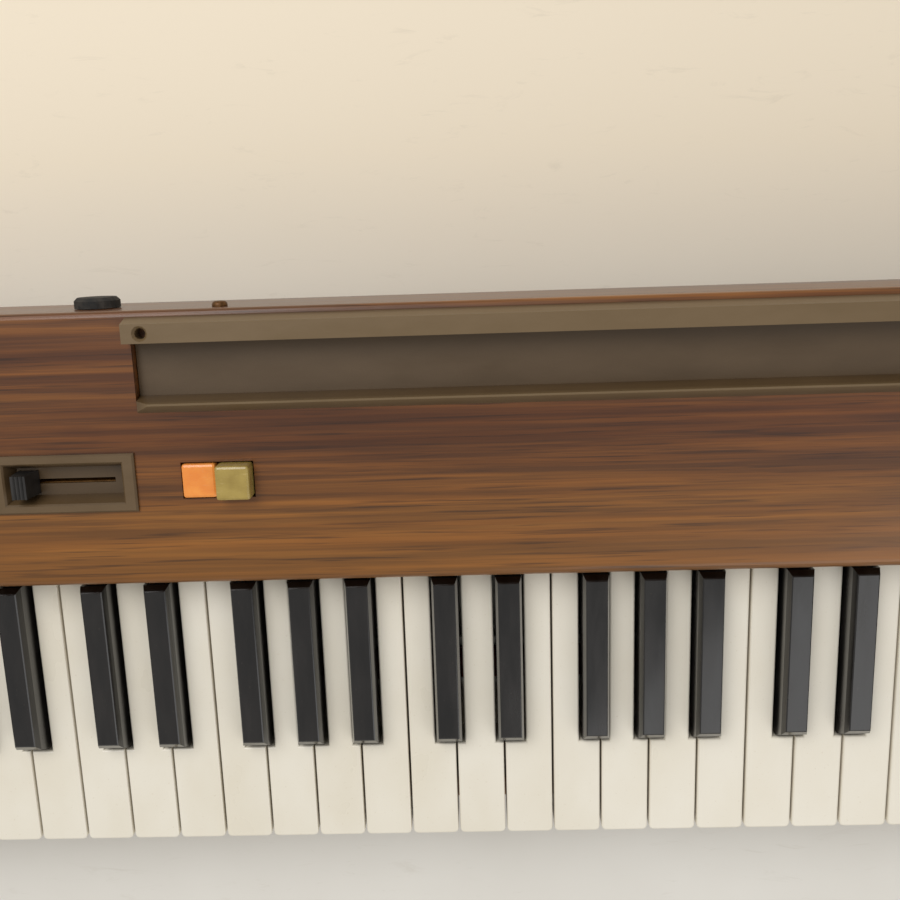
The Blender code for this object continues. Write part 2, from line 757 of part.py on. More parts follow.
def rear_board():
    """The back of the case, with a window for the connector plate."""
    low = REAR_BOTTOM_Z
    top = UNDER_PANEL_Z - GAP
    y0 = Y_REAR - REAR_T
    outline = rounded([(y0, low, 0), (Y_REAR, low, REAR_EDGE_R), (Y_REAR, top, 0), (y0, top, 0)])
    board = prism(outline, "X", -CASE_W / 2, CASE_W / 2)
    x0 = PLATE_X - PLATE_L / 2 + PLATE_BORDER
    x1 = PLATE_X + PLATE_L / 2 - PLATE_BORDER
    half = PLATE_H / 2 - PLATE_BORDER
    z = plate_z()
    window = box(x0, x1, y0 - REAR_T, Y_REAR + REAR_T, z - half, z + half)
    as_object("rear_board", combine(board, window), "walnut", smooth=30)


def plate_z():
    return (REAR_BOTTOM_Z + UNDER_PANEL_Z) / 2


def tray_lines():
    """Depths of the tray's slot in the panel, measured in the world."""
    front = Y_KEY + TRAY_FRONT + TRAY_FLANGE
    rear = Y_KEY + STRIP_FRONT + STRIP_WALL
    return front, rear


def bezel_window(x):
    """Opening in the panel for one slider's sunk frame."""
    hx = BEZEL_L / 2 - BEZEL_RIM_X + BEZEL_WALL + GAP
    hy = BEZEL_D / 2 - BEZEL_RIM_Y + BEZEL_WALL + GAP
    return box(x - hx, x + hx, Y_CONTROLS - hy, Y_CONTROLS + hy,
               UNDER_PANEL_Z - PANEL_T, PANEL_Z + PANEL_T)


def top_panel():
    """The wood-grain top: rounded front nose, slot for the tray and the control openings."""
    half = CASE_W / 2
    outline = rounded([(Y_NOSE, UNDER_PANEL_Z, PANEL_UNDER_R), (Y_REAR, UNDER_PANEL_Z, 0),
                       (Y_REAR, PANEL_Z, PANEL_REAR_R), (Y_NOSE, PANEL_Z, PANEL_NOSE_R)], 5)
    panel = prism(outline, "X", -half, half)
    low = UNDER_PANEL_Z - PANEL_T
    high = PANEL_Z + PANEL_T
    slot_front, slot_rear = tray_lines()
    tray_half = TRAY_L / 2 + GAP
    tray = box(-tray_half, tray_half, slot_front - GAP, slot_rear + GAP, low, high)
    wx = (BUTTON_PITCH + BUTTON_W) / 2 + BUTTON_CLEARANCE
    wy = BUTTON_D / 2 + BUTTON_CLEARANCE
    window = box(BUTTONS_X - wx, BUTTONS_X + wx, Y_CONTROLS - wy, Y_CONTROLS + wy, low, high)
    cuts = merged(tray, window, bezel_window(TREMOLO_X), bezel_window(TREMOLO_X - BEZEL_PITCH))
    as_object("top_panel", combine(panel, cuts), "walnut", smooth=30)


def tray_section():
    """Section of the moulded tray with its lip and, behind, the raised strip."""
    front = Y_KEY + TRAY_FRONT
    slot_front, slot_rear = tray_lines()
    seat = PANEL_Z + GAP
    floor = PANEL_Z - TRAY_FLOOR_DOWN
    strip_front = Y_KEY + STRIP_FRONT
    strip_rear = strip_front + STRIP_DEPTH
    strip_top = PANEL_Z + STRIP_H
    crest_z = PANEL_Z + TRAY_CREST_H
    crest_y = front + TRAY_OUTER_RUN
    foot = crest_y + TRAY_CREST_W + TRAY_INNER_RUN
    return [(front, seat), (crest_y, crest_z), (crest_y + TRAY_CREST_W, crest_z),
            (foot, floor), (strip_front, floor), (strip_front, strip_top),
            (strip_rear - STRIP_CHAMFER_RUN, strip_top), (strip_rear, seat),
            (slot_rear, seat), (slot_rear, floor - TRAY_SKIN),
            (foot - TRAY_SKIN / 2, floor - TRAY_SKIN), (slot_front, seat)]


def music_rest_tray():
    """The moulded tray across the panel that the music stands in, with holes for a rest."""
    seat = PANEL_Z + GAP
    slot_front, slot_rear = tray_lines()
    tray = prism(tray_section(), "X", -STRIP_L / 2, STRIP_L / 2)
    behind = Y_KEY + STRIP_FRONT
    low = seat - PANEL_T - GAP
    beyond = STRIP_L
    for side in (-1, 1):
        x0, x1 = sorted((side * TRAY_L / 2, side * beyond))
        tray = combine(tray, box(x0, x1, slot_front - PANEL_T, behind, low, seat + STRIP_H * 2))
        tray = combine(tray, box(x0, x1, behind - GAP, slot_rear + PANEL_T * 3, low, seat))
        inner = side * (TRAY_L / 2 - LIP_MITRE_RUN)
        outer = side * (TRAY_L / 2 + GAP)
        crest_z = PANEL_Z + TRAY_CREST_H
        mitre = [(inner, crest_z + GAP), (outer, seat + GAP), (outer, crest_z * 2),
                 (inner, crest_z * 2)]
        lip_rear = Y_KEY + TRAY_FRONT + TRAY_OUTER_RUN + TRAY_CREST_W + TRAY_INNER_RUN
        tray = combine(tray, prism(mitre, "Y", slot_front - PANEL_T, lip_rear))
    middle = Y_KEY + STRIP_FRONT + (STRIP_DEPTH - STRIP_CHAMFER_RUN) / 2
    top = PANEL_Z + STRIP_H
    for x in (-REST_HOLE_SPAN / 2, REST_HOLE_SPAN / 2):
        hole = turned([(0.0, low), (REST_HOLE_R, low), (REST_HOLE_R, top - REST_SINK_DEPTH),
                       (REST_SINK_R, top), (REST_SINK_R, top + STRIP_H), (0.0, top + STRIP_H)], 12)
        bmesh.ops.translate(hole, verts=hole.verts, vec=(x, middle, 0.0))
        tray = combine(tray, hole)
    as_object("music_rest_tray", tray, "brown_plastic", smooth=30)


def push_button(name, x, lift, material):
    """A square cap with rounded edges on a stem that runs into the switch block."""
    top = PANEL_Z + BUTTON_PROUD + lift
    low = top - BUTTON_H
    cap = box(x - BUTTON_W / 2, x + BUTTON_W / 2, Y_CONTROLS - BUTTON_D / 2,
              Y_CONTROLS + BUTTON_D / 2, low, top)
    bevel(cap, lambda e: max(v.co.z for v in e.verts) > top - 1e-6, BUTTON_EDGE_R)
    half = STEM_W / 2
    stem = box(x - half, x + half, Y_CONTROLS - half, Y_CONTROLS + half, low - STEM_L, low + half)
    as_object(name, combine(cap, stem, "UNION"), material, (x, Y_CONTROLS, low), smooth=50)


def rectangle(hx, hy, z):
    return [(-hx, -hy, z), (hx, -hy, z), (hx, hy, z), (-hx, hy, z)]


def frame_of_rings(rings):
    """A closed frame made by joining each rectangle to the next and the last to the first."""
    bm = bmesh.new()
    loops = [[bm.verts.new(p) for p in ring] for ring in rings]
    for i, loop in enumerate(loops):
        following = loops[(i + 1) % len(loops)]
        for k in range(4):
            n = (k + 1) % 4
            bm.faces.new((loop[k], loop[n], following[n], following[k]))
    bmesh.ops.recalc_face_normals(bm, faces=bm.faces)
    return bm


def bezel(name, x):
    """A sunk frame: raised mitred rim, sloping sides and a floor with the lever's slot."""
    hx = BEZEL_L / 2
    hy = BEZEL_D / 2
    ix = hx - BEZEL_RIM_X
    iy = hy - BEZEL_RIM_Y
    seat = PANEL_Z + GAP
    rim = PANEL_Z + BEZEL_PROUD
    floor = PANEL_Z - BEZEL_FLOOR_DOWN
    under = floor - BEZEL_FLOOR_T
    wall = BEZEL_WALL
    cut = BEZEL_CHAMFER
    rings = [rectangle(hx, hy, seat),
             rectangle(hx, hy, rim - cut),
             rectangle(hx - cut, hy - cut, rim),
             rectangle(ix + cut, iy + cut, rim),
             rectangle(ix, iy, rim - cut),
             rectangle(ix - BEZEL_FLOOR_INSET, iy - BEZEL_FLOOR_INSET, floor),
             rectangle(SLOT_L / 2, SLOT_W / 2, floor),
             rectangle(SLOT_L / 2, SLOT_W / 2, under),
             rectangle(ix + wall, iy + wall, under),
             rectangle(ix + wall, iy + wall, seat)]
    frame = frame_of_rings(rings)
    as_object(name, shifted(frame, x, Y_CONTROLS), "brown_plastic", (x, Y_CONTROLS, seat))


def shifted(bm, x, y, z=0.0):
    bmesh.ops.translate(bm, verts=bm.verts, vec=(x, y, z))
    return bm


def slider_knob(name, bezel_x):
    """A grooved finger grip on a flat lever, standing at the low end of its slot."""
    x = bezel_x - SLIDE_TRAVEL / 2
    low = PANEL_Z - BEZEL_FLOOR_DOWN + KNOB_CLEARANCE
    top = low + KNOB_H
    half = KNOB_L / 2
    crown = half - KNOB_TAPER
    groove = KNOB_GROOVE
    outline = [(-half, low), (half, low), (crown, top)]
    for i in range(KNOB_GROOVES):
        middle = ((KNOB_GROOVES - 1) / 2 - i) * KNOB_GROOVE_PITCH
        outline += [(middle + groove, top), (middle, top - groove), (middle - groove, top)]
    outline.append((-crown, top))
    grip = prism([(x + a, b) for a, b in outline], "Y", Y_CONTROLS - KNOB_D / 2,
                 Y_CONTROLS + KNOB_D / 2)
    lever = box(x - LEVER_L / 2, x + LEVER_L / 2, Y_CONTROLS - LEVER_W / 2,
                Y_CONTROLS + LEVER_W / 2, low - LEVER_DROP, low + groove)
    as_object(name, combine(grip, lever, "UNION"), "black_plastic", (x, Y_CONTROLS, low))


def control_board():
    """The board under the panel with two slide controls and the interlocked push switch."""
    top = UNDER_PANEL_Z - GAP
    deck = top - CONTROL_BODY_H
    left = TREMOLO_X - BEZEL_PITCH - BEZEL_L / 2 - CONTROL_BOARD_MARGIN
    block_half = (BUTTON_PITCH + STEM_W) / 2 + SWITCH_BLOCK_MARGIN
    right = BUTTONS_X + block_half + CONTROL_BOARD_MARGIN
    y0 = Y_CONTROLS - CONTROL_BOARD_D / 2
    y1 = Y_CONTROLS + CONTROL_BOARD_D / 2
    sheet = box(left, right, y0, y1, deck - BOARD_T, deck)
    bodies = []
    cuts = []
    pot_half = BEZEL_L / 2 - CONTROL_BOARD_MARGIN / 2
    for x in (TREMOLO_X, TREMOLO_X - BEZEL_PITCH):
        bodies.append(box(x - pot_half, x + pot_half, Y_CONTROLS - POT_D / 2,
                          Y_CONTROLS + POT_D / 2, deck - BOARD_T / 2, top))
        cuts.append(box(x - SLOT_L / 2, x + SLOT_L / 2, Y_CONTROLS - SLOT_W / 2,
                        Y_CONTROLS + SLOT_W / 2, deck + BOARD_T, top + POT_D))
    block_y = BUTTON_D / 2
    bodies.append(box(BUTTONS_X - block_half, BUTTONS_X + block_half, Y_CONTROLS - block_y,
                      Y_CONTROLS + block_y, deck - BOARD_T / 2, top))
    well = STEM_W / 2 + GAP
    for x in (BUTTONS_X - BUTTON_PITCH / 2, BUTTONS_X + BUTTON_PITCH / 2):
        cuts.append(box(x - well, x + well, Y_CONTROLS - well, Y_CONTROLS + well,
                        deck + GAP, top + STEM_W))
    board = combine(sheet, merged(*bodies), "UNION")
    as_object("control_board", combine(board, merged(*cuts)), "circuit")


def main_board():
    """The tone board behind the hinge, on posts, with its chips and capacitors."""
    low = BOTTOM_TOP_Z + GAP
    deck = low + MAIN_BOARD_LIFT
    y1 = Y_REAR - REAR_T - COMB_BAR_FROM_KEY
    y0 = y1 - MAIN_BOARD_D
    middle = (y0 + y1) / 2
    x0 = MAIN_BOARD_X - MAIN_BOARD_L / 2
    sheet = box(x0, x0 + MAIN_BOARD_L, y0, y1, deck, deck + BOARD_T)
    added = []
    for i in range(4):
        x = x0 + MAIN_BOARD_L * (i + 0.5) / 4
        post = turned([(0.0, low), (POST_R, low), (POST_R, deck + BOARD_T / 2),
                       (0.0, deck + BOARD_T / 2)], 8)
        added.append(shifted(post, x, middle))
    for i in range(CHIP_COUNT):
        x = x0 + MAIN_BOARD_L * (i + 0.5) / (CHIP_COUNT + CAN_COUNT)
        added.append(box(x - CHIP_L / 2, x + CHIP_L / 2, middle - CHIP_D / 2, middle + CHIP_D / 2,
                         deck + BOARD_T / 2, deck + BOARD_T + CHIP_H))
    for i in range(CAN_COUNT):
        x = x0 + MAIN_BOARD_L * (CHIP_COUNT + i + 0.5) / (CHIP_COUNT + CAN_COUNT)
        top = deck + BOARD_T + CAN_H
        can = turned([(0.0, deck + BOARD_T / 2), (CAN_R, deck + BOARD_T / 2),
                      (CAN_R, top - CAN_EDGE), (CAN_R - CAN_EDGE, top), (0.0, top)], 12)
        added.append(shifted(can, x, middle))
    as_object("main_board", combine(sheet, merged(*added), "UNION"), "circuit", smooth=40)


def transformer():
    """Mains transformer: a laminated core with fixing lugs and a wound coil round its middle."""
    x = TRANSFORMER_X
    low = BOTTOM_TOP_Z + GAP
    y = Y_REAR - REAR_T - COMB_BAR_FROM_KEY - COIL_D / 2
    core = box(x - CORE_L / 2, x + CORE_L / 2, y - CORE_D / 2, y + CORE_D / 2, low, low + CORE_H)
    middle = low + CORE_H / 2
    coil = round_rectangle(x - COIL_L / 2, x + COIL_L / 2, middle - COIL_H / 2,
                           middle + COIL_H / 2, COIL_CORNER_R)
    body = combine(core, prism(coil, "Y", y - COIL_D / 2, y + COIL_D / 2), "UNION")
    for side in (-1, 1):
        root = x + side * (CORE_L / 2 - LUG_T)
        tip = x + side * (CORE_L / 2 + LUG_L)
        half = CORE_D / 2 - LUG_INSET
        lug = round_rectangle(min(root, tip), max(root, tip), y - half, y + half, LUG_CORNER_R, 2)
        body = combine(body, prism(lug, "Z", low + GAP / 2, low + LUG_T), "UNION")
        hole = turned([(0.0, low - LUG_T), (LUG_HOLE_R, low - LUG_T), (LUG_HOLE_R, low + 2 * LUG_T),
                       (0.0, low + 2 * LUG_T)], 10)
        body = combine(body, shifted(hole, x + side * (CORE_L / 2 + LUG_L / 2), y))
    as_object("transformer", body, "transformer", smooth=40)


def connector_plate():
    """The plate in the rear board, with the output socket moulded on it."""
    z = plate_z()
    y0 = Y_REAR + GAP
    y1 = y0 + PLATE_T
    hx = PLATE_L / 2
    hz = PLATE_H / 2
    outline = round_rectangle(PLATE_X - hx, PLATE_X + hx, z - hz, z + hz, PLATE_CORNER_R)
    plate = prism(outline, "Y", y0, y1)
    jack_x = PLATE_X + JACK_X
    collar = bore(jack_x, z, JACK_COLLAR_R, y0 - JACK_BODY_L, y1 + JACK_COLLAR_H, 20)
    plate = combine(plate, collar, "UNION")
    plate = combine(plate, bore(jack_x, z, JACK_R, y0 - JACK_BODY_L + JACK_COLLAR_H,
                                y1 + JACK_COLLAR_H * 2, 16))
    rx = ROCKER_W / 2 + ROCKER_CLEARANCE
    rz = ROCKER_H / 2 + ROCKER_CLEARANCE
    rocker_x = PLATE_X + ROCKER_X
    inlet_x = PLATE_X + INLET_X
    ix = INLET_W / 2 + GAP
    iz = INLET_H / 2 + GAP
    holes = merged(box(rocker_x - rx, rocker_x + rx, y0 - PLATE_T, y1 + PLATE_T, z - rz, z + rz),
                   box(inlet_x - ix, inlet_x + ix, y0 - PLATE_T, y1 + PLATE_T, z - iz, z + iz))
    as_object("connector_plate", combine(plate, holes), "black_plastic", smooth=40)


def power_switch():
    """A rocker that turns about its middle line, stored tilted to one side."""
    x = PLATE_X + ROCKER_X
    z = plate_z()
    face = Y_REAR + GAP + PLATE_T + ROCKER_PROUD
    back = face - ROCKER_T
    axis_y = (face + back) / 2
    half = ROCKER_H / 2 - ROCKER_CLEARANCE
    dip = ROCKER_PROUD / 2
    crest = half * ROCKER_CREST
    heel = half * ROCKER_BACK
    outline = [(face - dip, z - half), (face, z - crest), (face - dip * ROCKER_HOLLOW, z),
               (face, z + crest), (face - dip, z + half), (back, z + heel), (back, z - heel)]
    rocker = prism(outline, "X", x - ROCKER_W / 2, x + ROCKER_W / 2)
    tilt = ROCKER_TILT * pi / 180
    bmesh.ops.translate(rocker, verts=rocker.verts, vec=(0.0, -axis_y, -z))
    for v in rocker.verts:
        y, h = v.co.y, v.co.z
        v.co.y = y * cos(tilt) - h * sin(tilt)
        v.co.z = y * sin(tilt) + h * cos(tilt)
    made = as_object("power_switch", rocker, "black_plastic")
    made.location = (0.0, axis_y, z)


def mains_inlet():
    """The mains inlet: a flanged socket through the plate with two pins in its well."""
    x = PLATE_X + INLET_X
    z = plate_z()
    outside = Y_REAR + GAP + PLATE_T + GAP
    face = outside + INLET_FLANGE_T
    hx = INLET_W / 2
    hz = INLET_H / 2
    body = box(x - hx, x + hx, face - INLET_L, face - INLET_FLANGE_T / 2, z - hz, z + hz)
    fx = hx + INLET_FLANGE
    fz = hz + INLET_FLANGE
    flange = round_rectangle(x - fx, x + fx, z - fz, z + fz, INLET_CORNER_R)
    body = combine(body, prism(flange, "Y", outside, face), "UNION")
    wx = hx - INLET_WALL
    wz = hz - INLET_WALL
    well = round_rectangle(x - wx, x + wx, z - wz, z + wz, INLET_WELL_R)
    body = combine(body, prism(well, "Y", face - INLET_DEPTH, face + INLET_DEPTH))
    for side in (-1, 1):
        root = face - INLET_DEPTH - INLET_FLANGE_T / 2
        tip = face - INLET_FLANGE_T
        pin = bore(x + side * INLET_PIN_SPACING / 2, z, INLET_PIN_R, root, tip, 8)
        body = combine(body, pin, "UNION")
    as_object("mains_inlet", body, "black_plastic", smooth=40)


def foot(name, x, y):
    """A tapered rubber foot under the base board."""
    top = FOOT_H - GAP
    profile = [(0.0, 0.0), (FOOT_R - FOOT_TAPER - FOOT_EDGE_R, 0.0),
               (FOOT_R - FOOT_TAPER, FOOT_EDGE_R), (FOOT_R, top), (0.0, top)]
    as_object(name, shifted(turned(profile, 20), x, y), "rubber", (x, y, 0.0), smooth=40)


def feet():
    front = Y_FRONT + KEY_INSET + FRONT_RAIL_T + FOOT_FROM_EDGE
    rear = Y_REAR - REAR_T - FOOT_FROM_EDGE
    foot("foot_front_left", -FOOT_X, front)
    foot("foot_front_right", FOOT_X, front)
    foot("foot_rear_left", -FOOT_X, rear)
    foot("foot_rear_right", FOOT_X, rear)


def bumper(name, x):
    """A round rubber bumper on the back."""
    z = PANEL_Z - BUMPER_DOWN
    height = BUMPER_T - GAP
    profile = [(0.0, 0.0), (BUMPER_R, 0.0), (BUMPER_R, height - BUMPER_EDGE_R),
               (BUMPER_R - BUMPER_EDGE_R, height), (0.0, height)]
    disc = turned(profile, 20)
    for v in disc.verts:
        v.co.y, v.co.z = v.co.z, -v.co.y
    bmesh.ops.recalc_face_normals(disc, faces=disc.faces)
    as_object(name, shifted(disc, x, Y_REAR + GAP, z), "rubber", (x, Y_REAR + GAP, z), smooth=40)


def build():
    clear_scene()
    moulds = make_moulds()
    single_keys(moulds)
    key_combs(moulds)
    key_frame()
    felts()
    nameboard()
    cheek("left_cheek", -1)
    cheek("right_cheek", 1)
    bottom_board()
    front_rail()
    rear_board()
    top_panel()
    music_rest_tray()
    left = BUTTONS_X - BUTTON_PITCH / 2
    right = BUTTONS_X + BUTTON_PITCH / 2
    push_button("button_1", left, 0.0, "orange")
    push_button("button_2", right, BUTTON_TRAVEL, "khaki")
    bezel("tremolo_bezel", TREMOLO_X)
    slider_knob("tremolo_knob", TREMOLO_X)
    bezel("volume_bezel", TREMOLO_X - BEZEL_PITCH)
    slider_knob("volume_knob", TREMOLO_X - BEZEL_PITCH)
    control_board()
    main_board()
    transformer()
    connector_plate()
    power_switch()
    mains_inlet()
    feet()
    bumper("bumper_left", -BUMPER_X)
    bumper("bumper_right", BUMPER_X)


build()
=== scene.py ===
import json
from math import pi, radians

import bmesh
import bpy
from mathutils import Matrix, Vector


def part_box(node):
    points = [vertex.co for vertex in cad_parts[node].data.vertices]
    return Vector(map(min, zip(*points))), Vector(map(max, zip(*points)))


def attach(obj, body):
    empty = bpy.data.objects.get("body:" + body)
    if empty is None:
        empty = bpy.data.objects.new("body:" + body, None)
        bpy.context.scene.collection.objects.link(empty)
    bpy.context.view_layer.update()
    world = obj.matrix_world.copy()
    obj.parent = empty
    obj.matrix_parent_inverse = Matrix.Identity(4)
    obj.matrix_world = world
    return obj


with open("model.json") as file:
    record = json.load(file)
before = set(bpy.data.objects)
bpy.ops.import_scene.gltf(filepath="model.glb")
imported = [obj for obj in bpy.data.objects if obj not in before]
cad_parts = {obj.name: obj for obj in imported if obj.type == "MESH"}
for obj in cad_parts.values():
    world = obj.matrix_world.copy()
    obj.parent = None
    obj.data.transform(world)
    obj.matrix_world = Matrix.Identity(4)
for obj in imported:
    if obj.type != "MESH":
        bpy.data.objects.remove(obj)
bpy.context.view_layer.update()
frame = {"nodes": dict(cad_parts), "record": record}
slot_of = {row["node"]: row["material_slot"] for row in frame["record"]["subparts"]}

# The boarded case: end blocks, top, back, front rail and nameboard.
# Board faced with a printed walnut grain that runs along the keyboard, under a clear gloss
# lacquer. The boards are glued and screwed; the top has a rounded nose over the keys, with a
# painted highlight.
VALUE = "NodeSocketFloat"
VECTOR = "NodeSocketVector"
COLOUR = "NodeSocketColor"
WEAR_LOW = 0.3
WEAR_HIGH = 0.7
NOSE_HIGHLIGHT_Y = (0.062, 0.014)
BACK_RED_Y = (0.060, 0.088)


def paint(code):
    """Linear colour of a six-digit paint code."""
    parts = [int(code[i:i + 2], 16) / 255 for i in (0, 2, 4)]
    linear = (p / 12.92 if p <= 0.04045 else ((p + 0.055) / 1.055) ** 2.4 for p in parts)
    return (*linear, 1.0)


def shared_group(name, inputs, outputs):
    """An empty node group with its named sockets, and the inner ends of both sides."""
    group = bpy.data.node_groups.new(name, "ShaderNodeTree")
    for side, sockets in (("INPUT", inputs), ("OUTPUT", outputs)):
        for socket_name, kind in sockets.items():
            group.interface.new_socket(name=socket_name, in_out=side, socket_type=kind)
    return (group, group.nodes.new("NodeGroupInput").outputs,
            group.nodes.new("NodeGroupOutput").inputs)


def feed(group, node, sources):
    """Joins sockets inside a group to the inputs of one of its nodes."""
    for name, source in sources.items():
        group.links.new(source, node.inputs[name])


def drawn_noise_group():
    """Cloudy noise whose spots are drawn out by a different scale along each axis."""
    group, given, gives = shared_group(
        "drawn_noise",
        {"Place": VECTOR, "Scale": VECTOR, "Turn": VECTOR, "Detail": VALUE,
         "Roughness": VALUE, "Distortion": VALUE},
        {"Mask": VALUE})
    mapping = group.nodes.new("ShaderNodeMapping")
    noise = group.nodes.new("ShaderNodeTexNoise")
    noise.inputs["Scale"].default_value = 1.0
    feed(group, mapping, {"Vector": given["Place"], "Scale": given["Scale"],
                          "Rotation": given["Turn"]})
    feed(group, noise, {"Vector": mapping.outputs["Vector"], "Detail": given["Detail"],
                        "Roughness": given["Roughness"], "Distortion": given["Distortion"]})
    group.links.new(noise.outputs["Fac"], gives["Mask"])
    return group


def colour_layer_group():
    """Streaks, dust, wear, painted shade and painted highlight: one colour over another, its
    share following a mask.
    """
    group, given, gives = shared_group(
        "colour_layer",
        {"Mask": VALUE, "Low": VALUE, "High": VALUE, "Share Low": VALUE,
         "Share High": VALUE, "Under": COLOUR, "Over": COLOUR},
        {"Colour": COLOUR})
    share = group.nodes.new("ShaderNodeMapRange")
    mix = group.nodes.new("ShaderNodeMix")
    mix.data_type = "RGBA"
    feed(group, share, {"Value": given["Mask"], "From Min": given["Low"],
                        "From Max": given["High"], "To Min": given["Share Low"],
                        "To Max": given["Share High"]})
    feed(group, mix, {0: share.outputs["Result"], 6: given["Under"], 7: given["Over"]})
    group.links.new(mix.outputs[2], gives["Colour"])
    return group


def worn_surface_group():
    """Uneven gloss from one pattern and fine relief from another."""
    group, given, gives = shared_group(
        "worn_surface",
        {"Wear": VALUE, "Roughness Low": VALUE, "Roughness High": VALUE, "Relief": VALUE,
         "Depth": VALUE},
        {"Roughness": VALUE, "Normal": VECTOR})
    gloss = group.nodes.new("ShaderNodeMapRange")
    gloss.inputs["From Min"].default_value = WEAR_LOW
    gloss.inputs["From Max"].default_value = WEAR_HIGH
    bump = group.nodes.new("ShaderNodeBump")
    bump.inputs["Strength"].default_value = 1.0
    feed(group, gloss, {"Value": given["Wear"], "To Min": given["Roughness Low"],
                        "To Max": given["Roughness High"]})
    feed(group, bump, {"Height": given["Relief"], "Distance": given["Depth"]})
    group.links.new(gloss.outputs["Result"], gives["Roughness"])
    group.links.new(bump.outputs["Normal"], gives["Normal"])
    return group


drawn_noise = drawn_noise_group()
colour_layer = colour_layer_group()
worn_surface = worn_surface_group()


def place_group(tree, group, values):
    """Places a shared group in a material, each input fed by a socket or a value."""
    placed = tree.nodes.new("ShaderNodeGroup")
    placed.node_tree = group
    for name, value in values.items():
        if isinstance(value, bpy.types.NodeSocket):
            tree.links.new(value, placed.inputs[name])
        else:
            placed.inputs[name].default_value = value
    return placed.outputs


def blank_finish(name):
    """A material with its shader, and the place of each point on the piece."""
    made = bpy.data.materials.new(name)
    made.use_nodes = True
    tree = made.node_tree
    place = tree.nodes.new("ShaderNodeTexCoord").outputs["Object"]
    return made, tree, tree.nodes["Principled BSDF"], place


def stretched_noise(tree, place, scale, detail=4.0, rough=0.55, distortion=0.0,
                    turn=(0, 0, 0)):
    return place_group(tree, drawn_noise, {
        "Place": place, "Scale": scale, "Turn": turn, "Detail": detail, "Roughness": rough,
        "Distortion": distortion})["Mask"]


def colour_steps(tree, value, steps):
    """A ramp from a value to colours; steps holds (position, colour)."""
    ramp = tree.nodes.new("ShaderNodeValToRGB")
    while len(ramp.color_ramp.elements) < len(steps):
        ramp.color_ramp.elements.new(0.5)
    for element, (position, colour) in zip(ramp.color_ramp.elements, steps):
        element.position = position
        element.color = colour
    tree.links.new(value, ramp.inputs["Fac"])
    return ramp.outputs["Color"]


def layered(tree, mask, low, high, share_low, share_high, under, over):
    """Lays one colour over another as a mask goes from low to high."""
    return place_group(tree, colour_layer, {
        "Mask": mask, "Low": low, "High": high, "Share Low": share_low,
        "Share High": share_high, "Under": under, "Over": over})["Colour"]


def rough_and_bumped(tree, shader, wear, rough_low, rough_high, relief, depth):
    wear_and_highlight = place_group(tree, worn_surface, {
        "Wear": wear, "Roughness Low": rough_low, "Roughness High": rough_high,
        "Relief": relief, "Depth": depth})
    tree.links.new(wear_and_highlight["Roughness"], shader.inputs["Roughness"])
    tree.links.new(wear_and_highlight["Normal"], shader.inputs["Normal"])


def axis_value(tree, place, axis):
    split = tree.nodes.new("ShaderNodeSeparateXYZ")
    tree.links.new(place, split.inputs["Vector"])
    return split.outputs[axis]


def walnut_finish():
    made, tree, shader, place = blank_finish("walnut_grain")
    figure = stretched_noise(tree, place, (1.6, 34.0, 34.0), 6.0, 0.62, 0.9)
    streaks = stretched_noise(tree, place, (4.0, 230.0, 230.0), 5.0, 0.65, 0.4)
    pores = stretched_noise(tree, place, (22.0, 900.0, 900.0), 2.0, 0.5)
    base = colour_steps(tree, figure, [
        (0.28, paint("3A1C08")), (0.42, paint("673810")), (0.55, paint("86501A")),
        (0.70, paint("9C6524"))])
    lined = layered(tree, streaks, 0.40, 0.66, 0.75, 0.0, base, paint("331806"))
    depth = axis_value(tree, place, "Y")
    # Painted highlight: the wood is mixed towards a paler gold at the front, along the
    # rounded nose.
    nose_highlighted = layered(tree, depth, *NOSE_HIGHLIGHT_Y, 0.0, 0.30, lined, paint("A06A22"))
    red = layered(tree, depth, *BACK_RED_Y, 0.0, 0.22, nose_highlighted, paint("5E300F"))
    pored = layered(tree, pores, 0.56, 0.72, 0.0, 0.55, red, paint("1E0D04"))
    tree.links.new(pored, shader.inputs["Base Color"])
    rough_and_bumped(tree, shader, figure, 0.30, 0.42, streaks, 0.00006)
    shader.inputs["Coat Weight"].default_value = 0.20
    shader.inputs["Coat Roughness"].default_value = 0.12
    return made


def dress(slot, material):
    """Gives one finish to every CAD node whose slot it is."""
    for node, piece in frame["nodes"].items():
        if slot_of.get(node) != slot:
            continue
        if not piece.material_slots:
            piece.data.materials.append(material)
        for held in piece.material_slots:
            held.material = material


dress("walnut", walnut_finish())

# The bottom board.
# A plain sealed fibre board between the end blocks, brown and mottled, with sawn edges.


def board_finish():
    made, tree, shader, place = blank_finish("sealed_board")
    mottle = stretched_noise(tree, place, (60.0, 60.0, 60.0), 6.0, 0.6)
    fibres = stretched_noise(tree, place, (500.0, 180.0, 500.0), 3.0, 0.6)
    base = colour_steps(tree, mottle, [(0.35, paint("5A3C22")), (0.65, paint("7A5634"))])
    tree.links.new(layered(tree, fibres, 0.4, 0.7, 0.0, 0.35, base, paint("3A2513")),
                   shader.inputs["Base Color"])
    rough_and_bumped(tree, shader, mottle, 0.62, 0.85, fibres, 0.00008)
    return made


dress("board", board_finish())

# White keys.
# Hollow mouldings in cream plastic that has yellowed a little, polished on top, with a faint
# bloom of handling and painted shade on the sides where they run down between their
# neighbours.
KEY_SHADE_Z = (0.0592, 0.0450)


